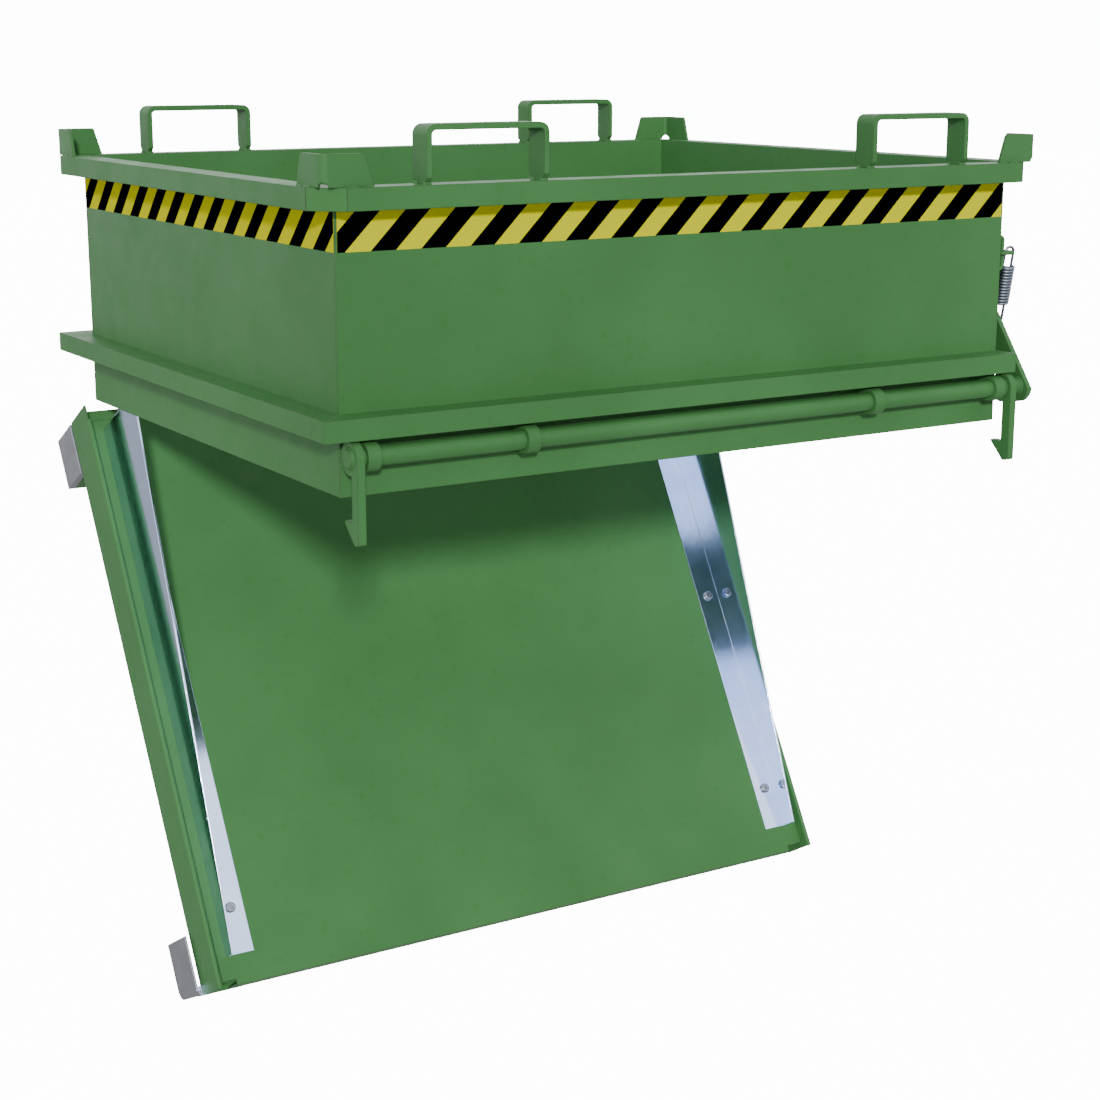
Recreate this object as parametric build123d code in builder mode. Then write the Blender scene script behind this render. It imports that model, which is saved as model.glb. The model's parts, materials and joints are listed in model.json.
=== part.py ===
"""Stacking container with a hinged drop floor.

A welded steel box without a bottom hangs from fork loops on its rim.  Its
floor swings down on a rear hinge and is latched at the front by two hooks on
one sprung shaft.

Frame: millimetres, +X along the long side to the lever, +Y to the hinge side,
+Z up.  The origin is the middle of the four fork loops, at the level where the
forks bear.
"""
from build123d import *
from math import cos, radians, sin, tan
import os

os.makedirs("parts", exist_ok=True)

# box
body_length = 1160.0          # over the end walls, along X
body_width = 945.0            # over the long walls, along Y
sheet = 4.0
skirt_depth = 82.0            # wall below the flange
panel_height = 267.0          # wall between flange and rim
channel_sheet = 3.0           # rim and flange channels
rim_height = 30.0
rim_overhang = 40.0
flange_height = 30.0
flange_overhang = 40.0
rear_flange_overhang = 52.5
flange_end_lap = 6.3          # front flange past the lever-side wall
lever_bay = 120.0             # no flange beside the lever

# fork loops and stacking guides
bar_width = 40.0
bar_thickness = 8.0
loop_gap = 170.0              # clear width for one fork
loop_clear_height = 69.5      # clear height for one fork
loop_pitch = 744.0
loop_bend = 6.0               # inside bend radius
foot_chamfer = 9.0
guide_sheet = 5.0
guide_offset = 32.5           # outer face of a guide, out from the wall
guide_height = 42.5
guide_foot_leg = 75.0
guide_top_leg = 62.0
guide_bend = 5.5              # inside bend radius
guide_corner_radius = 5.0
relief_radius = 7.0

# latch
shaft_radius = 13.5
shaft_standoff = 27.8         # shaft axis out from the front wall
shaft_rise = 57.8             # shaft axis above the skirt edge
shaft_stub = 4.0
running_gap = 0.05            # radial clearance of every turning fit
weld_gap = 0.02               # radial clearance of every welded bore
strap_width = 20.0
strap_sheet = 6.0
strap_inner = 306.0           # strap places, from mid-length
strap_outer = 551.0
hook_plate = 12.0
hook_head_radius = 23.0
hook_shank = 17.5
hook_barb_drop = 28.0         # catching face below the skirt edge
hook_barb_reach = 22.5
hook_nose = 30.5              # height of the sloping lead-in
hook_tip = 3.0
hook_foot = 12.0              # foot's level length
hook_foot_slope = 2.6
hook_corner_radius = 4.0
lever_plate = 9.0
lever_hub_radius = 25.5
lever_angle = 53.5            # front edge above level
lever_edge = 19.3             # front edge of the lever, out from the shaft axis
lever_length = 132.0
lever_width = 36.0
lever_tip_radius = 12.0
lever_eye_radius = 4.5
lever_eye_along = 108.0       # spring eye, along the lever from the shaft
lever_eye_across = 9.5

# spring and its anchor
spring_standoff = 26.0        # spring axis out from the end wall
spring_radius = 12.5
spring_wire = 4.0
spring_turns = 17
spring_pitch = 3.8            # the drawn turns touch
spring_ring = 9.5             # middle radius of the two end rings
link_wire = 6.5
link_near = 3.9               # link's near bar, out from the end wall
link_far = 29.5               # link's far bar, out from the end wall
link_width = 24.0
link_rise = 266.0             # link middle above the skirt edge
link_setback = 8.0            # link middle behind the front wall
staple_wire = 6.5
staple_height = 50.0
staple_reach = 10.8
staple_bend = 5.0

# hinged floor
open_angle = 60.0
hinge_offset = 36.6           # hinge axis behind the rear wall
hinge_drop = 6.3              # hinge axis below the skirt edge
floor_gap = 0.5               # closed floor to skirt edge
floor_front_lap = 41.0
floor_length = 982.5
front_flange_depth = 59.5     # down to the rails' lower lips
front_flange_taper = 5.0
rail_thickness = 8.0
rail_gap = 11.3               # rail's inner face out from the end wall
rail_up = 20.0                # rail above the floor
rail_down = 62.5
rail_lip = 60.0               # lower lip folded in from the rail
rail_lip_sheet = 3.0
rail_fold_length = 980.0
rail_length = 1005.0
rail_lip_radius = 3.5
notch_inset = 20.3
notch_depth = 10.0
foot_drop = 143.5             # soles below the floor
catch_width = 24.0
catch_start = 10.0
catch_length = 40.0
catch_gap = 1.0               # barb above catch, shut
catch_outset = 8.0            # catch out past the end wall's outer face

# wedge strips
strip_sheet = 3.0
strip_offset = 11.6           # upright leg in from the end wall's outer face
strip_flat = 48.0
strip_start = 48.0
strip_end = 964.0
strip_low = 30.0
strip_high = 172.0
screw_radius = 5.0
screw_head_radius = 8.75
screw_head_height = 5.0
screw_socket = 3.0
screw_socket_depth = 3.0
screw_tail = 2.0              # shank past the nut
screw_clearance = 0.3         # radial, in strip and floor
screw_rows = 3
screw_first = 124.0
screw_pitch = 384.5
screw_across = 25.0
nut_across = 17.0
nut_height = 8.0

# feet
front_foot_sheet = 3.0
front_foot_offset = 27.0      # inner face out from the end wall
front_foot_length = 100.0
front_foot_top = 53.0
front_foot_tab = 8.0
front_foot_tab_top = 42.0
front_foot_radius = 20.0
front_foot_taper = 5.0        # sole set back from the free edge
beam_start = 912.0
beam_end = 1002.0
beam_sheet = 5.0
rear_plate = 3.0
cap_gap = 0.5                 # rear foot's cap below the rail
spacer_length = 16.0
spacer_height = 20.0

# hinge
hinge_place = 430.0           # hinge middle from mid-length
eye_plate = 12.0
cheek_plate = 8.0
side_gap = 0.5
hinge_boss = 18.0
eye_leg = 55.0                # eye's weld seam down the beam
bracket_base = 5.0
pin_radius = 10.0
pin_head_radius = 15.0
pin_head = 5.0
clip_wire = 4.0
clip_length = 36.0
pin_tail = 8.0                # pin past its clip
end_chamfer = 1.0
cheek_height = 62.0
cheek_clear = 2.0             # cheek's lower edge above the skirt edge
cheek_shoulder = 10.0         # cheek's level top edge, out from the wall
cheek_heel = 12.6             # cheek's lower corner, in from the pin
stop_gap = 0.3

# hazard tape
tape_height = 55.0
tape_sheet = 0.4
tape_end_gap = 3.0
tape_gap = 0.3                # tape below the rim

# levels and places worked out from the sizes
half_length = body_length / 2
half_width = body_width / 2
rim_top = -loop_clear_height
rim_bottom = rim_top - rim_height
flange_top = rim_bottom - panel_height
flange_bottom = flange_top - flange_height
skirt = flange_bottom - skirt_depth
wall_height = rim_top - skirt
shaft_y = -half_width - shaft_standoff
shaft_z = skirt + shaft_rise
lever_x = half_length + spring_standoff - lever_plate / 2
hinge_y = half_width + hinge_offset
hinge_z = skirt - hinge_drop
floor_top = hinge_drop - floor_gap
floor_under = floor_top - sheet
free_edge = -half_width - floor_front_lap - hinge_y
rail_inner = half_length + rail_gap
rail_outer = rail_inner + rail_thickness
sole = floor_top - foot_drop
upright = (Align.CENTER, Align.CENTER, Align.MIN)

# frame of the floor: on the hinge axis, level when the floor is shut
floor_frame = Plane(
    origin=(0, hinge_y, hinge_z),
    x_dir=(1, 0, 0),
    z_dir=(0, -sin(radians(open_angle)), cos(radians(open_angle))),
)


def across(x):
    """Plane across the box at x, sketched in (y, z)."""
    return Plane.YZ.offset(x)


def floor_across(x):
    """Plane across the floor at x, sketched in the floor's own (y, z)."""
    origin = floor_frame.from_local_coords(Vector(x, 0, 0))
    return Plane(origin=origin, x_dir=floor_frame.y_dir, z_dir=(1, 0, 0))


def block(low, high, mode=Mode.ADD):
    """Block between two opposite corners in the frame being built."""
    middle = [(a + b) / 2 for a, b in zip(low, high)]
    with Locations(tuple(middle)):
        Box(high[0] - low[0], high[1] - low[1], high[2] - low[2], mode=mode)


def outline(*points):
    """Closed face through the points, for the sketch being built."""
    Polygon(*points, align=None)


def save(solid, name):
    solid.part.label = name
    export_step(solid.part, f"parts/{name}.step")


# walls
with BuildPart() as front_wall:
    block((-half_length, -half_width, skirt), (half_length, -half_width + sheet, rim_top))
save(front_wall, "front_wall")

with BuildPart() as rear_wall:
    block((-half_length, half_width - sheet, skirt), (half_length, half_width, rim_top))
save(rear_wall, "rear_wall")

for name, side in (("left_wall", -1), ("right_wall", 1)):
    with BuildPart() as end_wall:
        with Locations((side * (half_length - sheet / 2), 0, (skirt + rim_top) / 2)):
            Box(sheet, body_width - 2 * sheet, wall_height)
    save(end_wall, name)


# rim and flange channels, open to the wall
def channel(place, turn, length, reach, height, bottom):
    """Capped channel standing out from a wall; place is its middle at the wall face."""
    frame = Plane(origin=(place[0], place[1], bottom), z_dir=(0, 0, 1)).rotated((0, 0, turn))
    with BuildPart(frame) as bar:
        block((-length / 2, -reach, 0), (length / 2, 0, height))
        block(
            (-length / 2 + channel_sheet, -reach + channel_sheet, channel_sheet),
            (length / 2 - channel_sheet, 0, height - channel_sheet),
            mode=Mode.SUBTRACT,
        )
    return bar


rims = (
    ("rim_front", (0, -half_width), 0, body_length),
    ("rim_right", (half_length, 0), 90, body_width),
    ("rim_rear", (0, half_width), 180, body_length),
    ("rim_left", (-half_length, 0), 270, body_width),
)
for name, place, turn, length in rims:
    save(channel(place, turn, length, rim_overhang, rim_height, rim_bottom), name)

with BuildPart() as rim_corners:
    for turn_x, turn_y in ((-1, -1), (1, -1), (1, 1), (-1, 1)):
        corner_x = turn_x * half_length
        corner_y = turn_y * half_width
        with BuildSketch(Plane.XY.offset(rim_bottom)):
            outline(
                (corner_x, corner_y),
                (corner_x + turn_x * rim_overhang, corner_y),
                (corner_x, corner_y + turn_y * rim_overhang),
            )
        extrude(amount=rim_height)
save(rim_corners, "rim_corners")

front_start = -half_length - flange_overhang
front_end = half_length + flange_end_lap
front_middle = ((front_start + front_end) / 2, -half_width)
right_length = body_width - lever_bay
right_middle = (half_length, half_width - right_length / 2)
rear_length = body_length + 2 * flange_overhang
flanges = (
    ("flange_front", front_middle, 0, front_end - front_start, flange_overhang),
    ("flange_right", right_middle, 90, right_length, flange_overhang),
    ("flange_rear", (0, half_width), 180, rear_length, rear_flange_overhang),
    ("flange_left", (-half_length, 0), 270, body_width, flange_overhang),
)
for name, place, turn, length, reach in flanges:
    save(channel(place, turn, length, reach, flange_height, flange_bottom), name)


# fork loops
def fork_loop(x, y_middle):
    """Flat bar bent over one fork and standing on the rim."""
    outer = loop_gap + 2 * bar_thickness
    with BuildPart() as loop:
        with BuildSketch(Plane.XZ.offset(-y_middle)):
            with Locations((x, rim_top)):
                Rectangle(outer, loop_clear_height + bar_thickness, align=(Align.CENTER, Align.MIN))
            with Locations((x, rim_top)):
                Rectangle(
                    loop_gap,
                    loop_clear_height,
                    align=(Align.CENTER, Align.MIN),
                    mode=Mode.SUBTRACT,
                )
        extrude(amount=bar_width / 2, both=True)
        crown = loop.edges().filter_by(Axis.Y).group_by(Axis.Z)
        fillet(crown[-1], loop_bend + bar_thickness)
        inside = loop.edges().filter_by(Axis.Y).filter_by_position(Axis.Z, -1, 1)
        fillet(inside, loop_bend)
        feet = loop.edges().filter_by(Axis.X).group_by(Axis.Z)[0]
        chamfer(feet, foot_chamfer)
    return loop


for side_name, side in (("left", -1), ("right", 1)):
    place_x = side * loop_pitch / 2
    save(fork_loop(place_x, -half_width - bar_width / 2), f"fork_loop_front_{side_name}")
    save(fork_loop(place_x, half_width + bar_width / 2), f"fork_loop_rear_{side_name}")


# stacking guides
def stacking_guide(side_x, side_y, leg):
    """Bent plate on a rim corner; leg is the direction of its first leg."""
    corner = (side_x * (half_length + guide_offset), side_y * (half_width + guide_offset))
    frame = Plane(origin=(corner[0], corner[1], rim_top), x_dir=leg, z_dir=(0, 0, 1))
    outer_bend = guide_bend + guide_sheet
    with BuildPart() as guide:
        with BuildSketch(frame):
            Rectangle(guide_foot_leg, guide_foot_leg, align=(Align.MIN, Align.MIN))
            with Locations((guide_sheet, guide_sheet)):
                Rectangle(
                    guide_foot_leg,
                    guide_foot_leg,
                    align=(Align.MIN, Align.MIN),
                    mode=Mode.SUBTRACT,
                )
        extrude(amount=guide_height)
        bend_edges = guide.edges().filter_by(Axis.Z).sort_by_distance(frame.origin)
        outer_edge = bend_edges[0]
        inner_edge = bend_edges[1]
        fillet(inner_edge, guide_bend)
        fillet(outer_edge, outer_bend)
        for direction, flip in ((frame.x_dir, 1), (frame.y_dir, -1)):
            sideways = direction.cross(Vector(0, 0, 1))
            end_plane = Plane(origin=frame.origin, x_dir=direction, z_dir=sideways)
            with BuildSketch(end_plane):
                outline(
                    (guide_foot_leg, 0),
                    (guide_foot_leg + guide_sheet, 0),
                    (guide_foot_leg + guide_sheet, guide_height),
                    (guide_top_leg, guide_height),
                )
            extrude(amount=-flip * guide_sheet, mode=Mode.SUBTRACT)
            tips = guide.edges().filter_by(Axis(frame.origin, sideways)).group_by(Axis.Z)[-1]
            fillet(tips.sort_by_distance(frame.origin)[-1], guide_corner_radius)
        relief_plane = Plane(
            origin=frame.origin,
            x_dir=frame.x_dir - frame.y_dir,
            z_dir=frame.x_dir + frame.y_dir,
        )
        with BuildSketch(relief_plane):
            Circle(relief_radius)
        extrude(amount=guide_foot_leg / 2, mode=Mode.SUBTRACT)
    return guide


guides = (
    ("stacking_guide_front_left", -1, -1, (1, 0, 0)),
    ("stacking_guide_front_right", 1, -1, (0, 1, 0)),
    ("stacking_guide_rear_right", 1, 1, (-1, 0, 0)),
    ("stacking_guide_rear_left", -1, 1, (0, -1, 0)),
)
for name, side_x, side_y, leg in guides:
    save(stacking_guide(side_x, side_y, leg), name)


# latch shaft and its straps
shaft_start = -half_length - shaft_stub
shaft_end = lever_x + lever_plate + shaft_stub / 2
with BuildPart() as latch_shaft:
    with BuildSketch(across(shaft_start)):
        with Locations((shaft_y, shaft_z)):
            Circle(shaft_radius)
    extrude(amount=shaft_end - shaft_start)
    chamfer(latch_shaft.edges().filter_by(GeomType.CIRCLE), end_chamfer)
save(latch_shaft, "latch_shaft")


def shaft_strap(x):
    """Strap round the shaft with two legs welded to the wall."""
    bore = shaft_radius + running_gap
    outer = bore + strap_sheet
    with BuildPart() as strap:
        with BuildSketch(across(x - strap_width / 2)):
            with Locations((shaft_y, shaft_z)):
                Circle(outer)
                Rectangle(shaft_standoff, 2 * outer, align=(Align.MIN, Align.CENTER))
                Circle(bore, mode=Mode.SUBTRACT)
        extrude(amount=strap_width)
    return strap


straps = (
    ("shaft_strap_far_left", -strap_outer),
    ("shaft_strap_left", -strap_inner),
    ("shaft_strap_right", strap_inner),
    ("shaft_strap_far_right", strap_outer),
)
for name, x in straps:
    save(shaft_strap(x), name)


# hooks
def latch_hook(x):
    """Hook plate welded round the shaft, its barb under the floor's catch."""
    shank_front = shaft_y - hook_head_radius
    shank_rear = shank_front + hook_shank
    barb_top = skirt - hook_barb_drop
    barb_foot = barb_top - hook_nose
    with BuildPart() as hook:
        with BuildSketch(across(x)):
            with Locations((shaft_y, shaft_z)):
                Circle(hook_head_radius)
            outline(
                (shank_front, shaft_z),
                (shank_front, barb_foot + hook_foot_slope),
                (shank_front + hook_foot, barb_foot),
                (shank_rear + hook_barb_reach, barb_top - hook_tip),
                (shank_rear + hook_barb_reach, barb_top),
                (shank_rear, barb_top),
                (shank_rear, shaft_z - hook_head_radius),
                (shaft_y, shaft_z),
            )
            with Locations((shaft_y, shaft_z)):
                Circle(shaft_radius + weld_gap, mode=Mode.SUBTRACT)
        extrude(amount=hook_plate)
        foot = hook.edges().filter_by(Axis.X).sort_by(Axis.Z)[:2]
        fillet(foot, hook_corner_radius)
    return hook


save(latch_hook(-half_length), "hook_left")
save(latch_hook(half_length - hook_plate), "hook_right")

# release lever
lever_frame = Plane(
    origin=(lever_x, shaft_y, shaft_z),
    x_dir=(0, cos(radians(lever_angle)), sin(radians(lever_angle))),
    z_dir=(1, 0, 0),
)
with BuildPart() as release_lever:
    with BuildSketch(lever_frame):
        Circle(lever_hub_radius)
        outline(
            (-(lever_hub_radius**2 - lever_edge**2) ** 0.5, lever_edge),
            (lever_length, lever_edge),
            (lever_length, lever_edge - lever_width),
            (0, -lever_hub_radius),
            (0, 0),
        )
        with Locations((0, lever_edge)):
            Rectangle(
                2 * lever_length,
                lever_hub_radius,
                align=(Align.CENTER, Align.MIN),
                mode=Mode.SUBTRACT,
            )
        Circle(shaft_radius + weld_gap, mode=Mode.SUBTRACT)
        with Locations((lever_eye_along, lever_eye_across)):
            Circle(lever_eye_radius, mode=Mode.SUBTRACT)
    extrude(amount=lever_plate)
    outward = Axis(lever_frame.origin, lever_frame.x_dir)
    tip = release_lever.edges().filter_by(Axis.X).sort_by(outward)[-2:]
    fillet(tip, lever_tip_radius)
save(release_lever, "release_lever")

# anchor staple on the end wall
anchor_y = -half_width + link_setback
anchor_z = skirt + link_rise
with BuildPart() as spring_staple:
    with BuildLine(Plane.XZ.offset(-anchor_y)):
        FilletPolyline(
            (half_length, anchor_z + staple_height / 2),
            (half_length + staple_reach, anchor_z + staple_height / 2),
            (half_length + staple_reach, anchor_z - staple_height / 2),
            (half_length, anchor_z - staple_height / 2),
            radius=staple_bend,
        )
    with BuildSketch(across(half_length)):
        with Locations((anchor_y, anchor_z + staple_height / 2)):
            Circle(staple_wire / 2)
    sweep()
save(spring_staple, "spring_staple")

# link between staple and spring
link_middle = half_length + (link_near + link_far) / 2
bend_radius = (link_width - link_wire) / 2
with BuildPart() as spring_link:
    with BuildLine(Plane.XY.offset(anchor_z)):
        half_straight = (link_far - link_near) / 2 - bend_radius
        Polyline(
            (link_middle - half_straight, anchor_y - bend_radius),
            (link_middle + half_straight, anchor_y - bend_radius),
        )
        Polyline(
            (link_middle + half_straight, anchor_y + bend_radius),
            (link_middle - half_straight, anchor_y + bend_radius),
        )
        CenterArc((link_middle + half_straight, anchor_y), bend_radius, -90, 180)
        CenterArc((link_middle - half_straight, anchor_y), bend_radius, 90, 180)
    with BuildSketch(across(link_middle)):
        with Locations((anchor_y - bend_radius, anchor_z)):
            Circle(link_wire / 2)
    sweep()
save(spring_link, "spring_link")

# tension spring between the link and the lever's eye
eye = lever_frame.from_local_coords(Vector(lever_eye_along, lever_eye_across, lever_plate / 2))
upper = Vector(half_length + spring_standoff, anchor_y, anchor_z)
rise = (upper - eye).normalized()
lower = eye + rise * spring_ring
spring_frame = Plane(origin=lower, x_dir=(1, 0, 0), z_dir=rise)
ring_span = (upper - lower).length
coil_height = (spring_turns - 1) * spring_pitch
coil_start = (ring_span - coil_height) / 2
coil_radius = spring_radius - spring_wire / 2
with BuildPart(spring_frame) as tension_spring:
    for turn in range(spring_turns):
        with Locations((0, 0, coil_start + turn * spring_pitch)):
            Torus(coil_radius, spring_wire / 2)
    for ring_z, coil_z, inward in ((0, coil_start, 1), (ring_span, coil_start + coil_height, -1)):
        with Locations(Location((0, 0, ring_z), (90, 0, 0))):
            Torus(spring_ring, spring_wire / 2)
        stem_foot = min(ring_z + inward * spring_ring, coil_z)
        stem_length = abs(coil_z - ring_z - inward * spring_ring)
        with Locations((0, 0, stem_foot)):
            Cylinder(spring_wire / 2, stem_length, align=upright)
        with Locations((0, 0, coil_z)):
            Cylinder(coil_radius, spring_wire)
save(tension_spring, "tension_spring")


# hinged floor, modelled level and shown hanging
def at(along, below):
    """Floor coordinates (y, z) from the free edge and from the upper face."""
    return (free_edge + along, floor_top - below)


def floor_block(x_range, along, below, mode=Mode.ADD):
    low = (x_range[0], free_edge + along[0], floor_top - below[1])
    high = (x_range[1], free_edge + along[1], floor_top - below[0])
    block(low, high, mode)


screw_x = half_length - strip_offset - screw_across
screw_y = [free_edge + screw_first + screw_pitch * count for count in range(screw_rows)]
screw_places = [(side * screw_x, y) for side in (-1, 1) for y in screw_y]
notch_half = half_length - notch_inset

with BuildPart(floor_frame) as floor_plate:
    floor_block((-rail_inner, rail_inner), (0, floor_length), (0, sheet))
    floor_block((-rail_inner, -notch_half), (0, notch_depth), (0, sheet), Mode.SUBTRACT)
    floor_block((notch_half, rail_inner), (0, notch_depth), (0, sheet), Mode.SUBTRACT)
    lip_origin = floor_frame.from_local_coords(Vector(0, free_edge, floor_top))
    with BuildSketch(Plane(origin=lip_origin, x_dir=(1, 0, 0), z_dir=-floor_frame.y_dir)):
        outline(
            (-notch_half, 0),
            (notch_half, 0),
            (notch_half - front_flange_taper, -front_flange_depth),
            (-notch_half + front_flange_taper, -front_flange_depth),
        )
    extrude(amount=-sheet)
    with Locations(*[(x, y, floor_top) for x, y in screw_places]):
        Hole(screw_radius + screw_clearance, depth=sheet)
save(floor_plate, "floor_plate")

for name, side in (("left", -1), ("right", 1)):
    inner, outer = sorted((side * rail_inner, side * rail_outer))
    with BuildPart(floor_frame) as rail:
        floor_block((inner, outer), (0, rail_fold_length), (-rail_up, rail_down))
        lips = rail.edges().filter_by(Axis(floor_frame.origin, floor_frame.y_dir))
        fillet(lips.sort_by(Axis(floor_frame.origin, floor_frame.z_dir))[-2:], rail_lip_radius)
        lip = tuple(sorted((side * rail_inner, side * (rail_inner - rail_lip))))
        floor_block(lip, (0, beam_start), (rail_down - rail_lip_sheet, rail_down))
        ear_face = side * (rail_outer - channel_sheet)
        ear = tuple(sorted((ear_face, side * rail_outer)))
        floor_block(ear, (rail_fold_length, rail_length), (-rail_up, rail_down))
    save(rail, f"floor_rail_{name}")

    strip_face = side * (half_length - strip_offset)
    strip_legs = tuple(sorted((strip_face, strip_face - side * strip_flat)))
    with BuildPart(floor_frame) as strip:
        floor_block(strip_legs, (strip_start, strip_end), (-strip_sheet, 0))
        with BuildSketch(floor_across(strip_face)):
            outline(
                at(strip_start, 0),
                at(strip_end, 0),
                at(strip_end, -strip_high),
                at(strip_start, -strip_low),
            )
        extrude(amount=-side * strip_sheet)
        own_places = [(x, y, floor_top + strip_sheet) for x, y in screw_places if x * side > 0]
        with Locations(*own_places):
            Hole(screw_radius + screw_clearance, depth=strip_sheet)
    save(strip, f"wedge_strip_{name}")

    with BuildPart(floor_frame) as catch:
        catch_inner = side * (half_length + catch_outset - catch_width)
        catch_outer = side * (half_length + catch_outset)
        catch_x = tuple(sorted((catch_inner, catch_outer)))
        catch_foot = hook_barb_drop - catch_gap - floor_gap
        floor_block(catch_x, (catch_start, catch_start + catch_length), (sheet, catch_foot))
    save(catch, f"catch_block_{name}")

    foot_face = side * (half_length + front_foot_offset)
    with BuildPart(floor_frame) as front_foot:
        with BuildSketch(floor_across(foot_face)):
            outline(
                at(0, front_foot_tab_top),
                at(front_foot_tab, front_foot_tab_top),
                at(front_foot_tab, front_foot_top),
                at(front_foot_length, front_foot_top),
                at(front_foot_length, foot_drop),
                at(front_foot_taper, foot_drop),
            )
        extrude(amount=side * front_foot_sheet)
        toe = floor_frame.from_local_coords(Vector(foot_face, free_edge, sole))
        corners = front_foot.edges().filter_by(Axis.X)
        fillet(corners.sort_by_distance(toe)[0], front_foot_radius)
    save(front_foot, f"front_foot_{name}")

    with BuildPart(floor_frame) as foot_spacer:
        spacer_x = tuple(sorted((side * rail_outer, foot_face)))
        spacer_foot = front_foot_tab_top + spacer_height
        floor_block(spacer_x, (0, spacer_length), (front_foot_tab_top, spacer_foot))
    save(foot_spacer, f"foot_spacer_{name}")

    with BuildPart(floor_frame) as rear_foot:
        plate_x = tuple(sorted((side * rail_outer, side * (rail_outer + rear_plate))))
        floor_block(plate_x, (beam_start, beam_end), (rail_down, foot_drop))
        cap_x = tuple(sorted((side * rail_inner, side * rail_outer)))
        floor_block(cap_x, (beam_start, beam_end), (rail_down + cap_gap, foot_drop))
    save(rear_foot, f"rear_foot_{name}")

# beam under the hinge edge
with BuildPart(floor_frame) as hinge_beam:
    beam_x = (-rail_inner, rail_inner)
    floor_block(beam_x, (beam_start, beam_end), (sheet, foot_drop))
    floor_block(
        beam_x,
        (beam_start + beam_sheet, beam_end - beam_sheet),
        (sheet, foot_drop - beam_sheet),
        Mode.SUBTRACT,
    )
    floor_block(beam_x, (floor_length - beam_sheet, beam_end), (sheet, sheet + beam_sheet))
save(hinge_beam, "hinge_beam")

# screws and nuts of the wedge strips
with BuildPart(floor_frame) as strip_screws:
    head_z = floor_top + strip_sheet
    tail_z = floor_under - nut_height - screw_tail
    with Locations(*[(x, y, head_z) for x, y in screw_places]):
        Cylinder(screw_head_radius, screw_head_height, align=upright)
    with Locations(*[(x, y, tail_z) for x, y in screw_places]):
        Cylinder(screw_radius, head_z - tail_z, align=upright)
    upward = Axis(floor_frame.origin, floor_frame.z_dir)
    tops = strip_screws.faces().sort_by(upward)[-len(screw_places):]
    fillet(tops.edges(), screw_head_height / 2)
    with Locations(*[(x, y, head_z + screw_head_height) for x, y in screw_places]):
        Hole(screw_socket, depth=screw_socket_depth)
save(strip_screws, "strip_screws")

nut_origin = floor_frame.from_local_coords(Vector(0, 0, floor_under))
with BuildPart() as strip_nuts:
    with BuildSketch(Plane(origin=nut_origin, x_dir=(1, 0, 0), z_dir=floor_frame.z_dir)):
        with Locations(*screw_places):
            RegularPolygon(nut_across / 2, 6, major_radius=False)
            Circle(screw_radius + weld_gap, mode=Mode.SUBTRACT)
    extrude(amount=-nut_height)
save(strip_nuts, "strip_nuts")


# hinges
def hinge_eye(x):
    """Eye welded to the beam; its heel is the stop of the open floor."""
    web = free_edge + beam_end
    slope = tan(radians(90 - open_angle))
    reach = (hinge_offset - bracket_base - stop_gap) / sin(radians(open_angle))
    heel = hinge_boss / 2
    with BuildPart() as hinge_eye_part:
        with BuildSketch(floor_across(x - eye_plate / 2)):
            Circle(hinge_boss)
            outline((web, -eye_leg), (web, 0), (0, 0), (hinge_boss, 0))
            outline(
                (-heel, 0),
                (heel, 0),
                (heel, reach + heel * slope),
                (-heel, reach - heel * slope),
            )
            Circle(pin_radius + running_gap, mode=Mode.SUBTRACT)
        extrude(amount=eye_plate)
    return hinge_eye_part


def hinge_bracket(x):
    """Base plate on the rear wall with two cheeks round the eye."""
    inner = eye_plate / 2 + side_gap
    outer = inner + cheek_plate
    foot = skirt + cheek_clear
    with BuildPart() as bracket:
        head = foot + cheek_height
        block((x - outer, half_width, foot), (x + outer, half_width + bracket_base, head))
        for side in (-1, 1):
            with BuildSketch(across(x + side * inner)):
                with Locations((hinge_y, hinge_z)):
                    Circle(hinge_boss)
                outline(
                    (half_width, foot),
                    (half_width, head),
                    (half_width + cheek_shoulder, head),
                    (hinge_y + hinge_boss, hinge_z),
                    (hinge_y, hinge_z),
                    (hinge_y - cheek_heel, foot),
                )
                with Locations((hinge_y, hinge_z)):
                    Circle(pin_radius + weld_gap, mode=Mode.SUBTRACT)
            extrude(amount=side * cheek_plate)
    return bracket


def hinge_pin(x):
    """Headed pin with a cross hole for its clip."""
    half_span = eye_plate / 2 + side_gap + cheek_plate
    clip_x = x + half_span + clip_wire
    end = clip_x + pin_tail
    start = x - half_span - side_gap
    with BuildPart() as pin:
        with BuildSketch(across(start)):
            with Locations((hinge_y, hinge_z)):
                Circle(pin_radius)
        extrude(amount=end - start)
        with BuildSketch(across(start)):
            with Locations((hinge_y, hinge_z)):
                Circle(pin_head_radius)
        extrude(amount=-pin_head)
        chamfer(pin.edges().sort_by(Axis.X)[-1], end_chamfer)
        with Locations((clip_x, hinge_y, hinge_z)):
            Cylinder(clip_wire / 2 + running_gap, 4 * pin_radius, mode=Mode.SUBTRACT)
    return pin


for name, side in (("left", -1), ("right", 1)):
    save(hinge_eye(side * hinge_place), f"hinge_eye_{name}")
    save(hinge_bracket(side * hinge_place), f"hinge_bracket_{name}")
    save(hinge_pin(side * hinge_place), f"hinge_pin_{name}")

with BuildPart() as hinge_clips:
    for side in (-1, 1):
        clip_x = side * hinge_place + eye_plate / 2 + side_gap + cheek_plate + clip_wire
        with Locations((clip_x, hinge_y, hinge_z)):
            Cylinder(clip_wire / 2, clip_length)
save(hinge_clips, "hinge_clips")

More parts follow.
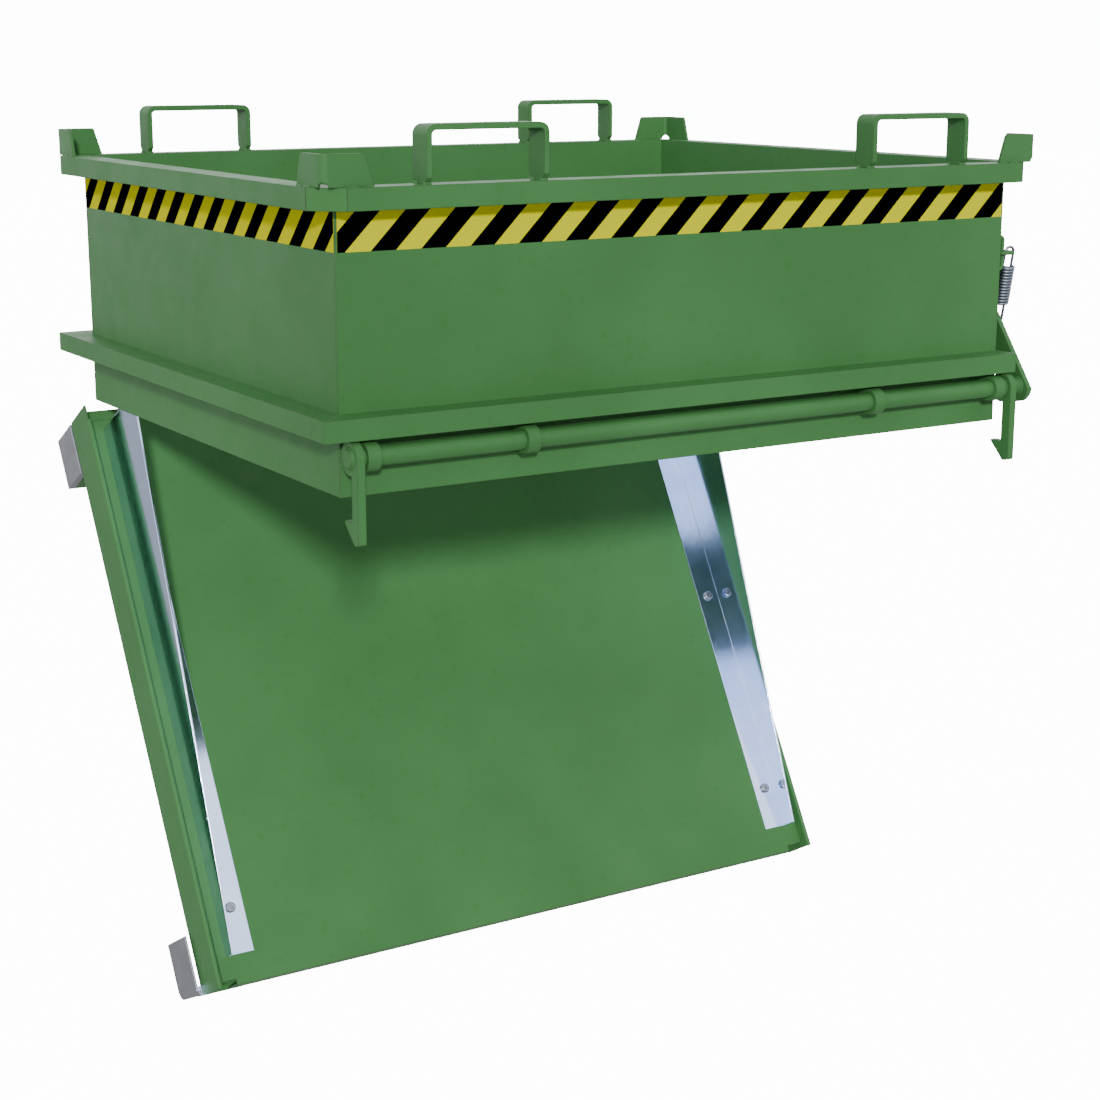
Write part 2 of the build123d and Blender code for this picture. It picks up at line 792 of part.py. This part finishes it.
# hazard tape under the rim
tape_top = rim_bottom - tape_gap
tape_foot = tape_top - tape_height
tape_x = half_length - tape_end_gap
tape_y = half_width - tape_end_gap
with BuildPart() as hazard_tape:
    for side in (-1, 1):
        face_y = sorted((side * half_width, side * (half_width + tape_sheet)))
        block((-tape_x, face_y[0], tape_foot), (tape_x, face_y[1], tape_top))
        face_x = sorted((side * half_length, side * (half_length + tape_sheet)))
        block((face_x[0], -tape_y, tape_foot), (face_x[1], tape_y, tape_top))
save(hazard_tape, "hazard_tape")
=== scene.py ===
# %% [markdown]
# # Stacking container with a hinged drop floor
# A welded steel box hangs from the fork loops on its rim, with its floor swung
# down on a rear hinge. The frame brings in every solid piece in its place. This
# lesson gives them paint, zinc and tape, winds the spring, lays the weld seams
# and sets the light and the camera. Lengths are in metres.

# %% load the frame
import json
import math

import bpy
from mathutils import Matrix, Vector


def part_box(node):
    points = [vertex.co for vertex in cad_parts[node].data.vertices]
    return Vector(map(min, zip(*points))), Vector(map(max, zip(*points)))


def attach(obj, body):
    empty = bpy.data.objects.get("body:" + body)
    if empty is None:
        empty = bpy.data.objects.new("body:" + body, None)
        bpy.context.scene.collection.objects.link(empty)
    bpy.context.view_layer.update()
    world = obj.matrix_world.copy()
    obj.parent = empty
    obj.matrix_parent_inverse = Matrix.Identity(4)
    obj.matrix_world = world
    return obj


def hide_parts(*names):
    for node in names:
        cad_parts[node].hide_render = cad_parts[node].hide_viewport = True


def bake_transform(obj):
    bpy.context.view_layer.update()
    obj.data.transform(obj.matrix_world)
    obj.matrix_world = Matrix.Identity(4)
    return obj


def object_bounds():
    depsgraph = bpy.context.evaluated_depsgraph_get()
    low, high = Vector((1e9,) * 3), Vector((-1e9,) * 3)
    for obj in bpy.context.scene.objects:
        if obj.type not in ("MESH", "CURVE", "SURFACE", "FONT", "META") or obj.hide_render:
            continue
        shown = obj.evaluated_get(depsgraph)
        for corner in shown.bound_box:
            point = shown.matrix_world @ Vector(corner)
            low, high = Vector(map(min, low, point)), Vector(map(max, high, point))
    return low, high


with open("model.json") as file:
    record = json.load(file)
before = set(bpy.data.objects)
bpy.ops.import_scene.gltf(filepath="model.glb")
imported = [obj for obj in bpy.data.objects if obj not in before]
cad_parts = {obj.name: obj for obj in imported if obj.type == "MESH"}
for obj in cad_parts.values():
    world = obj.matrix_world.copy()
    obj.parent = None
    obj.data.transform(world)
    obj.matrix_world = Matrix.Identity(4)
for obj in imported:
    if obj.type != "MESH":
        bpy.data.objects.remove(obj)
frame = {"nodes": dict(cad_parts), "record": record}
nodes = frame["nodes"]
frame_low, frame_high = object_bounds()
slot_of = {s["node"]: s["material_slot"] for s in frame["record"]["subparts"]}
print("pieces from the frame:", len(nodes))
print("frame size:", [round(h - l, 4) for l, h in zip(frame_low, frame_high)])


# %% [markdown]
# ## Small helpers for materials
# A sprayed or galvanised sheet is never one flat colour. The tones could come
# from pictures wrapped round the sheet, but noise read in each piece's own
# coordinates needs no wrapping and keeps its place when the floor swings. These
# helpers each add one node and hand back its output.

# %% start a material
def new_material(name):
    """A fresh material with its shader and a source of the piece's own coordinates."""
    material = bpy.data.materials.new(name)
    material.use_nodes = True
    tree = material.node_tree
    shader = tree.nodes["Principled BSDF"]
    place = tree.nodes.new("ShaderNodeTexCoord")
    return material, tree, shader, place


def link(tree, a, b):
    tree.links.new(a, b)


# %% noise and mixing nodes
def noise(tree, place, scale, detail=4.0, rough=0.55, stretch=(1, 1, 1)):
    """Cloudy noise with about scale blobs to the metre, stretched along the axes."""
    mapping = tree.nodes.new("ShaderNodeMapping")
    mapping.inputs["Scale"].default_value = stretch
    link(tree, place.outputs["Object"], mapping.inputs["Vector"])
    texture = tree.nodes.new("ShaderNodeTexNoise")
    texture.inputs["Scale"].default_value = scale
    texture.inputs["Detail"].default_value = detail
    texture.inputs["Roughness"].default_value = rough
    link(tree, mapping.outputs["Vector"], texture.inputs["Vector"])
    return texture.outputs["Fac"]


def remap(tree, value, low, high, out_low, out_high):
    """Turn the range low to high into the range out_low to out_high, held at both ends."""
    node = tree.nodes.new("ShaderNodeMapRange")
    node.inputs["From Min"].default_value = low
    node.inputs["From Max"].default_value = high
    node.inputs["To Min"].default_value = out_low
    node.inputs["To Max"].default_value = out_high
    link(tree, value, node.inputs["Value"])
    return node.outputs["Result"]


def mix(tree, factor, a, b):
    """Blend two colours, each given as a tuple or as another node's output."""
    node = tree.nodes.new("ShaderNodeMix")
    node.data_type = "RGBA"
    colours = [s for s in node.inputs if s.type == "RGBA"]
    result = [s for s in node.outputs if s.type == "RGBA"][0]
    link(tree, factor, node.inputs["Factor"])
    for socket, value in zip(colours, (a, b)):
        if isinstance(value, tuple):
            socket.default_value = (*value, 1.0)
        else:
            link(tree, value, socket)
    return result


def math_node(tree, operation, a, b=None):
    """One step of arithmetic on numbers or on other nodes' outputs."""
    node = tree.nodes.new("ShaderNodeMath")
    node.operation = operation
    for socket, value in zip(node.inputs, (a, b)):
        if value is None:
            continue
        if isinstance(value, (int, float)):
            socket.default_value = value
        else:
            link(tree, value, socket)
    return node.outputs["Value"]


# %% edges, bumps and colours
def edge_mask(tree, radius):
    """1 along sharp edges and 0 on flat faces, and a normal that rounds the edge."""
    bevel = tree.nodes.new("ShaderNodeBevel")
    bevel.samples = 6
    bevel.inputs["Radius"].default_value = radius
    face = tree.nodes.new("ShaderNodeNewGeometry")
    dot = tree.nodes.new("ShaderNodeVectorMath")
    dot.operation = "DOT_PRODUCT"
    link(tree, bevel.outputs["Normal"], dot.inputs[0])
    link(tree, face.outputs["Normal"], dot.inputs[1])
    flat, sharp = 0.999, 0.93
    mask = remap(tree, dot.outputs["Value"], flat, sharp, 0.0, 1.0)
    return mask, bevel.outputs["Normal"]


def bump(tree, height, strength, distance, normal=None):
    """Tilt the surface by a height, on top of another normal if one is given."""
    node = tree.nodes.new("ShaderNodeBump")
    node.inputs["Strength"].default_value = strength
    node.inputs["Distance"].default_value = distance
    link(tree, height, node.inputs["Height"])
    if normal is not None:
        link(tree, normal, node.inputs["Normal"])
    return node.outputs["Normal"]


def linear(r, g, b):
    """Colour in screen values of 0 to 255, as linear light."""
    return tuple(((c / 255 + 0.055) / 1.055) ** 2.4 if c > 10 else c / 3295 for c in (r, g, b))


# %% [markdown]
# ## Green powder coat
# Nearly every piece is sprayed the same leaf green. The coat has a fine orange peel, soft drifts of
# tone, a few scuffs, and thin darker brown lines along sharp edges and inner creases, which in the
# creases are painted shade. Such lines could be painted by hand; here the shader finds sharp edges
# by itself, so that each of the many plates gets them in the right place.

# %% green paint
def green_paint():
    """Semi-gloss green with drifts, scuffs, and darker brown lines on sharp edges and inner creases,
    painted shade in the creases.
    """
    material, tree, shader, place = new_material("green_paint")
    drift = remap(tree, noise(tree, place, 3.0, 3.0), 0.35, 0.65, 0.0, 1.0)
    colour = mix(tree, drift, linear(66, 117, 64), linear(73, 127, 72))
    fine = remap(tree, noise(tree, place, 60.0, 5.0), 0.58, 0.8, 0.0, 0.35)
    colour = mix(tree, fine, colour, linear(50, 104, 46))
    scuff = noise(tree, place, 24.0, 6.0, 0.7, (1.0, 1.0, 6.0))
    scuff = remap(tree, scuff, 0.72, 0.8, 0.0, 0.3)
    colour = mix(tree, scuff, colour, linear(80, 136, 76))
    # Thin darker brown lines on sharp edges and inner creases; in the creases this darkening is
    # painted shade.
    edge_radius = 0.0016
    edge, soft = edge_mask(tree, edge_radius)
    edge_line_breakup = remap(tree, noise(tree, place, 90.0, 4.0), 0.35, 0.6, 0.25, 0.75)
    dark_edge_and_crease = math_node(tree, "MULTIPLY", edge, edge_line_breakup)
    colour = mix(tree, dark_edge_and_crease, colour, linear(58, 70, 44))
    link(tree, colour, shader.inputs["Base Color"])
    rough = remap(tree, noise(tree, place, 18.0, 4.0), 0.3, 0.7, 0.42, 0.56)
    link(tree, rough, shader.inputs["Roughness"])
    shader.inputs["Specular IOR Level"].default_value = 0.18
    peel = noise(tree, place, 420.0, 2.0)
    link(tree, bump(tree, peel, 0.10, 0.0006, soft), shader.inputs["Normal"])
    return material


# %% [markdown]
# ## Zinc
# The wedge strips are bright galvanised sheet, almost a mirror, while the feet are duller and
# painted darker, as shade for their side-facing plates, and the screws and spring are darker. All
# four look like one metal in other tones, so one function makes them. The sheet's crystals come from
# a cell pattern, which has the straight borders that real spangle has.

# %% zinc finishes
def zinc(name, light, dark, grain, roughness):
    """Zinc with a faint spangle of grain cells to the metre, and cloudy patches."""
    material, tree, shader, place = new_material(name)
    cells = tree.nodes.new("ShaderNodeTexVoronoi")
    cells.inputs["Scale"].default_value = grain
    link(tree, place.outputs["Object"], cells.inputs["Vector"])
    tone = tree.nodes.new("ShaderNodeSeparateColor")
    link(tree, cells.outputs["Color"], tone.inputs["Color"])
    cloud = remap(tree, noise(tree, place, 9.0, 5.0), 0.3, 0.7, 0.0, 0.8)
    colour = mix(tree, cloud, light, dark)
    spangle = remap(tree, tone.outputs["Red"], 0.0, 1.0, 0.0, 0.22)
    colour = mix(tree, spangle, colour, dark)
    link(tree, colour, shader.inputs["Base Color"])
    shader.inputs["Metallic"].default_value = 1.0
    smoother, rougher = roughness * 0.8, roughness * 1.25
    gloss = remap(tree, noise(tree, place, 30.0, 5.0), 0.3, 0.7, smoother, rougher)
    link(tree, gloss, shader.inputs["Roughness"])
    fold_radius = 0.0018
    soft = edge_mask(tree, fold_radius)[1]
    streak = noise(tree, place, 160.0, 3.0, 0.6, (1.0, 0.15, 0.15))
    link(tree, bump(tree, streak, 0.012, 0.0001, soft), shader.inputs["Normal"])
    return material


# %% [markdown]
# ## Warning tape
# Black bars lean at 45 degrees on a yellow band, the same way on all four sides.
# A picture of the bars would need its own wrapping on each side. Instead the
# face's own direction says how far along the wall a point is, and the height is
# taken from that, which makes the slant.

# %% warning tape
def hazard_tape(period=0.0748, long_shift=0.5):
    """Slanted bars; period is one black and one yellow bar, in metres along the wall.
    long_shift moves the bars on the two long walls by a share of that."""
    material, tree, shader, place = new_material("hazard_tape")
    across = tree.nodes.new("ShaderNodeVectorMath")
    across.operation = "CROSS_PRODUCT"
    link(tree, place.outputs["Normal"], across.inputs[0])
    link(tree, place.outputs["Object"], across.inputs[1])
    along = tree.nodes.new("ShaderNodeSeparateXYZ")
    link(tree, across.outputs["Vector"], along.inputs["Vector"])
    height = tree.nodes.new("ShaderNodeSeparateXYZ")
    link(tree, place.outputs["Object"], height.inputs["Vector"])
    lean = math_node(tree, "SUBTRACT", along.outputs["Z"], height.outputs["Z"])
    facing = tree.nodes.new("ShaderNodeSeparateXYZ")
    link(tree, place.outputs["Normal"], facing.inputs["Vector"])
    long_side = math_node(tree, "ABSOLUTE", facing.outputs["Y"])
    start = math_node(tree, "MULTIPLY_ADD", long_side, long_shift)
    keeps_positive = 100.0
    start.node.inputs[2].default_value = keeps_positive
    turns = math_node(tree, "ADD", math_node(tree, "DIVIDE", lean, period), start)
    share = math_node(tree, "FRACT", turns)
    bar = remap(tree, share, 0.497, 0.503, 0.0, 1.0)
    dust = remap(tree, noise(tree, place, 40.0, 5.0), 0.4, 0.7, 0.0, 0.10)
    yellow = mix(tree, dust, (0.72, 0.70, 0.0), (0.65, 0.62, 0.0))
    black = mix(tree, dust, linear(2, 2, 2), linear(14, 15, 13))
    link(tree, mix(tree, bar, yellow, black), shader.inputs["Base Color"])
    shader.inputs["Specular IOR Level"].default_value = 0.0
    rough = remap(tree, noise(tree, place, 70.0, 3.0), 0.3, 0.7, 0.5, 0.65)
    link(tree, rough, shader.inputs["Roughness"])
    link(tree, bump(tree, noise(tree, place, 120.0, 3.0), 0.06, 0.0004), shader.inputs["Normal"])
    return material


# %% [markdown]
# ## Which piece wears what
# The frame's record names a finish for each piece, so a table from those names to materials is
# enough. The feet are the one exception: they are galvanised like the strips, but get a duller zinc
# of their own whose darker tone is painted shade for their side-facing plates.

# %% give every piece its finish
finishes = {
    "green_paint": green_paint(),
    "galvanised": zinc(
        "galvanised", linear(214, 228, 255), linear(188, 205, 244), grain=95.0, roughness=0.10
    ),
    "fastener_zinc": zinc(
        "fastener_zinc", linear(150, 154, 162), linear(104, 108, 116), grain=300.0, roughness=0.22
    ),
    "spring_steel": zinc(
        "spring_steel", linear(124, 130, 140), linear(84, 90, 100), grain=260.0, roughness=0.4
    ),
    "hazard_tape": hazard_tape(),
}
# The feet's zinc is a darker copy of the galvanised zinc; its darker tone is painted shade for the
# feet's side-facing plates.
shaded_foot_zinc = zinc(
    "shaded_foot_zinc", linear(160, 160, 167), linear(144, 144, 152), grain=60.0, roughness=0.38
)
for name, piece in nodes.items():
    piece.data.materials.clear()
    foot = name.startswith(("front_foot", "rear_foot"))
    piece.data.materials.append(shaded_foot_zinc if foot else finishes[slot_of[name]])
print("finishes:", sorted(finishes))


# %% [markdown]
# ## Tools for new pieces
# A new piece is made from several small shapes. Each shape starts with nothing
# else selected, because an operator works on all that is selected. At the end
# the shapes are joined, the faces are turned outwards, and the piece is given
# its finish and the body that it moves with.

# %% helpers for new pieces
def fresh():
    """Leave edit mode with nothing selected."""
    if bpy.context.object and bpy.context.object.mode != "OBJECT":
        bpy.ops.object.mode_set(mode="OBJECT")
    bpy.ops.object.select_all(action="DESELECT")


def finish_piece(piece, name, slot, body=None):
    """Put the piece's place into its mesh, name it, and let it move with a body."""
    fresh()
    piece.select_set(True)
    bpy.context.view_layer.objects.active = piece
    bpy.ops.object.transform_apply(location=True, rotation=True, scale=True)
    bpy.ops.object.mode_set(mode="EDIT")
    bpy.ops.mesh.select_all(action="SELECT")
    bpy.ops.mesh.normals_make_consistent(inside=False)
    bpy.ops.object.mode_set(mode="OBJECT")
    bpy.ops.object.shade_smooth_by_angle(angle=math.radians(40))
    piece.name = name
    piece.data.name = name
    piece.data.materials.clear()
    piece.data.materials.append(finishes[slot])
    if body:
        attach(piece, body)
    print(name, "faces:", len(piece.data.polygons))
    return piece


def join(parts):
    """Make one object of several."""
    fresh()
    for part in parts:
        part.select_set(True)
    bpy.context.view_layer.objects.active = parts[0]
    bpy.ops.object.join()
    return bpy.context.object


# %% [markdown]
# ## The spring
# A close-wound tension spring pulls the release lever back. It hooks on the
# link above and in the lever's eye below. A coil could follow a curve, but a
# screw that turns the wire's round section about the spring's axis works as a
# winding lathe does, and gives even turns with a hair of space between them.

# %% sizes of the spring
wire = 0.0045
wire_sides = 14
coil_radius = 0.0112
coil_steps = 36
hook_radius = 0.0088
hook_steps = 24
turns = 13
pitch = 0.0048
link_low, link_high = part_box("spring_link")
spring_low, spring_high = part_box("tension_spring")
link_middle = (link_low + link_high) / 2
spring_middle = (spring_low + spring_high) / 2
upper_ring = Vector((spring_middle.x, link_middle.y, link_middle.z))
lower_ring = 2 * spring_middle - upper_ring
print("rings at:", [round(v, 4) for v in (*upper_ring, *lower_ring)])
span = (upper_ring - lower_ring).length
coil_height = turns * pitch
coil_start = (span - coil_height) / 2
print("spring from hook to hook:", round(span, 4))

# %% wind the coil
fresh()
bpy.ops.mesh.primitive_circle_add(
    vertices=wire_sides,
    radius=wire / 2,
    location=(coil_radius, 0, 0),
    rotation=(math.radians(90), 0, 0),
)
coil = bpy.context.object
bpy.ops.object.transform_apply(location=True, rotation=True, scale=True)
turning = coil.modifiers.new("wind", "SCREW")
turning.axis = "Z"
turning.steps = coil_steps
turning.render_steps = coil_steps
turning.iterations = turns
turning.screw_offset = pitch
bpy.ops.object.modifier_apply(modifier=turning.name)
bpy.ops.transform.translate(value=(0, 0, coil_start))
print("coil width:", round(coil.dimensions.x, 4))

# %% bend the two hooks
parts = [coil]
for ring_z, coil_z, turn in ((0, coil_start, 180), (span, coil_start + coil_height, -180)):
    fresh()
    bpy.ops.mesh.primitive_circle_add(
        vertices=wire_sides, radius=wire / 2, location=(hook_radius, 0, 0)
    )
    hook = bpy.context.object
    bpy.ops.object.transform_apply(location=True, rotation=True, scale=True)
    bending = hook.modifiers.new("bend", "SCREW")
    bending.axis = "Y"
    bending.angle = math.radians(turn)
    bending.steps = hook_steps
    bending.render_steps = hook_steps
    bpy.ops.object.modifier_apply(modifier=bending.name)
    hook.location = (0, 0, ring_z)
    parts.append(hook)
    for x in (-hook_radius, hook_radius):
        bpy.ops.mesh.primitive_cylinder_add(
            vertices=wire_sides,
            radius=wire / 2,
            depth=abs(coil_z - ring_z) + wire / 2,
            location=(x, 0, (coil_z + ring_z) / 2),
        )
        parts.append(bpy.context.object)
print("hooks and shanks:", len(parts) - 1)

# %% hang the spring in its place
for part in parts:
    fresh()
    part.select_set(True)
    bpy.context.view_layer.objects.active = part
    bpy.ops.object.transform_apply(location=True, rotation=True, scale=True)
spring = join(parts)
rise = (upper_ring - lower_ring).normalized()
spring.rotation_euler = (math.atan2(-rise.y, rise.z), 0, 0)
spring.location = lower_ring
spring = finish_piece(spring, "wound_spring", "spring_steel")
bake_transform(spring)
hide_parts("tension_spring")


# %% [markdown]
# ## Weld seams
# The loops, straps and guides are welded on, and small painted beads close the
# corners where they meet the sheet. A bead could be cut into the sheet, but it is metal laid on top,
# so it is made as a rod with round ends, half sunk in the corner.

# %% weld helpers
bead_sides = 12


def bead(start, end, radius):
    """A straight seam with rounded ends between two points."""
    a = Vector(start)
    b = Vector(end)
    run = b - a
    parts = []
    fresh()
    for end_point in (a, b):
        bpy.ops.mesh.primitive_uv_sphere_add(
            segments=bead_sides, ring_count=10, radius=radius, location=end_point
        )
        parts.append(bpy.context.object)
    bpy.ops.mesh.primitive_cylinder_add(
        vertices=bead_sides,
        radius=radius,
        depth=run.length,
        location=(a + b) / 2,
        rotation=run.to_track_quat("Z", "Y").to_euler(),
    )
    parts.append(bpy.context.object)
    return parts


def ring_bead(x, y, z, radius, thickness=0.0022):
    """A seam all round a shaft that lies along X."""
    fresh()
    bpy.ops.mesh.primitive_torus_add(
        major_radius=radius,
        minor_radius=thickness,
        major_segments=48,
        minor_segments=10,
        location=(x, y, z),
        rotation=(0, math.radians(90), 0),
    )
    return [bpy.context.object]


# %% seams at the feet of the fork loops
bar_thickness = 0.008
bar_inset = 0.008
bar_end_gap = 0.001
bead_lift = 0.0005
loop_bead = 0.0034
seams = []
for name in sorted(n for n in nodes if n.startswith("fork_loop")):
    low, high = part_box(name)
    z = low.z + bead_lift
    for x0, x1 in ((low.x, low.x + bar_thickness), (high.x - bar_thickness, high.x)):
        for y in (low.y + bar_inset, high.y - bar_inset):
            seams += bead((x0 + bar_end_gap, y, z), (x1 - bar_end_gap, y, z), loop_bead)
print("shapes in the loop seams:", len(seams))

# %% seams along the shaft straps
strap_end_gap = 0.002
strap_bead = 0.0028
wall_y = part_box("front_wall")[0].y
for name in sorted(n for n in nodes if n.startswith("shaft_strap")):
    low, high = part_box(name)
    x0, x1 = low.x + strap_end_gap, high.x - strap_end_gap
    for z in (low.z, high.z):
        seams += bead((x0, wall_y, z), (x1, wall_y, z), strap_bead)

# %% stitches along the stacking guides
guide_bead = 0.0022
stitches = ((0.036, 0.052), (0.06, 0.072))
for name in sorted(n for n in nodes if n.startswith("stacking_guide")):
    low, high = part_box(name)
    side_x = 1 if low.x > 0 else -1
    side_y = 1 if low.y > 0 else -1
    corner_x = high.x if side_x > 0 else low.x
    corner_y = high.y if side_y > 0 else low.y
    for first, last in stitches:
        x0, x1 = corner_x - side_x * first, corner_x - side_x * last
        y0, y1 = corner_y - side_y * first, corner_y - side_y * last
        seams += bead((x0, corner_y, low.z), (x1, corner_y, low.z), guide_bead)
        seams += bead((corner_x, y0, low.z), (corner_x, y1, low.z), guide_bead)
finish_piece(join(seams), "box_welds", "green_paint", "container")

# %% [markdown]
# ## Seams on the latch
# Hooks and lever turn with the shaft, so their beads are a piece of their own
# that moves with the latch. The shaft's place and size are read from the frame.

# %% seams round the shaft
shaft_low, shaft_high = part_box("latch_shaft")
shaft_y = (shaft_low.y + shaft_high.y) / 2
shaft_z = (shaft_low.z + shaft_high.z) / 2
shaft_radius = (shaft_high.z - shaft_low.z) / 2
seams = []
for name in ("hook_left", "hook_right", "release_lever"):
    low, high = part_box(name)
    for x in (low.x, high.x):
        seams += ring_bead(x, shaft_y, shaft_z, shaft_radius)
finish_piece(join(seams), "latch_welds", "green_paint", "latch")


# %% [markdown]
# ## The floor of the studio
# The box hangs in the air, so a pale floor lies well below it and catches no
# hard shadow. It could be lit by lamps until it is white, but they would bleach
# the paint too. It glows only where it is looked at, and so lights nothing.

# %% floor
backdrop_glow = 14.0
floor_size = 60
floor_drop = 0.45
fresh()
bpy.ops.mesh.primitive_plane_add(size=floor_size, location=(0, 0, frame_low.z - floor_drop))
ground = bpy.context.object
ground.name = "ground"
material, tree, shader, place = new_material("ground")
tone = remap(tree, noise(tree, place, 0.4, 2.0), 0.3, 0.7, 0.0, 1.0)
link(tree, mix(tree, tone, (0.86, 0.86, 0.86), (0.9, 0.9, 0.9)), shader.inputs["Base Color"])
shader.inputs["Roughness"].default_value = 0.9
shader.inputs["Specular IOR Level"].default_value = 0.1
seen = tree.nodes.new("ShaderNodeLightPath")
glow = math_node(tree, "MULTIPLY", seen.outputs["Is Camera Ray"], backdrop_glow)
shader.inputs["Emission Color"].default_value = (1.0, 1.0, 1.0, 1.0)
link(tree, glow, shader.inputs["Emission Strength"])
ground.data.materials.append(material)

# %% [markdown]
# ## Light
# A studio tent surrounds the box. Its soft light reaches into every corner, and
# it looks brighter in the bare zinc, which mirrors it. One broad key light from
# the front left draws the hooks' shadows on the floor plate, and a large round
# lamp lifts the left side.

# %% the studio tent
soft_light = 0.30
mirror_light = 1.8
world = bpy.data.worlds.new("studio")
bpy.context.scene.world = world
world.use_nodes = True
sky = world.node_tree
seen = sky.nodes.new("ShaderNodeLightPath")
mirrored = math_node(sky, "MULTIPLY", seen.outputs["Is Glossy Ray"], mirror_light)
bright = math_node(sky, "MULTIPLY", seen.outputs["Is Camera Ray"], backdrop_glow)
level = math_node(sky, "ADD", math_node(sky, "ADD", mirrored, bright), soft_light)
backdrop = sky.nodes["Background"]
backdrop.inputs["Color"].default_value = (0.94, 0.97, 1.0, 1.0)
link(sky, level, backdrop.inputs["Strength"])
print("tent light:", soft_light, "in mirrors:", mirror_light)


# %% two lamps
def lamp(kind, name, place, target, energy, **looks):
    """A lamp at one place, aimed at another."""
    fresh()
    bpy.ops.object.light_add(type=kind, location=place)
    made = bpy.context.object
    made.name = name
    made.data.energy = energy
    for key, value in looks.items():
        setattr(made.data, key, value)
    direction = Vector(target) - Vector(place)
    made.rotation_euler = direction.to_track_quat("-Z", "Y").to_euler()
    print(name, "energy:", energy)


key_place = (-2.1, -4.3, 1.7)
side_place = (-6.0, -0.5, 0.3)
lamp("SUN", "key_light", key_place, (0, 0, 0), energy=2.6, angle=math.radians(5))
lamp("AREA", "side_light", side_place, (0, 0, -0.4), energy=35, shape="DISK", size=4.0)

# %% [markdown]
# ## Camera
# The box is seen from the front left, a little above its rim, so that the open
# floor and the latch both show. The lens is a short tele lens from three and a
# half metres away, which keeps the walls close to parallel.

# %% camera
fresh()
bpy.ops.object.camera_add(
    location=(-1.7754, -2.9520, 0.1039), rotation=(math.radians(76.59), 0, math.radians(-31.53))
)
camera = bpy.context.object
camera.name = "camera"
camera.data.lens = 69.0
camera.data.sensor_width = 36.0
camera.data.clip_end = 200
bpy.context.scene.camera = camera
print("camera lens:", camera.data.lens)
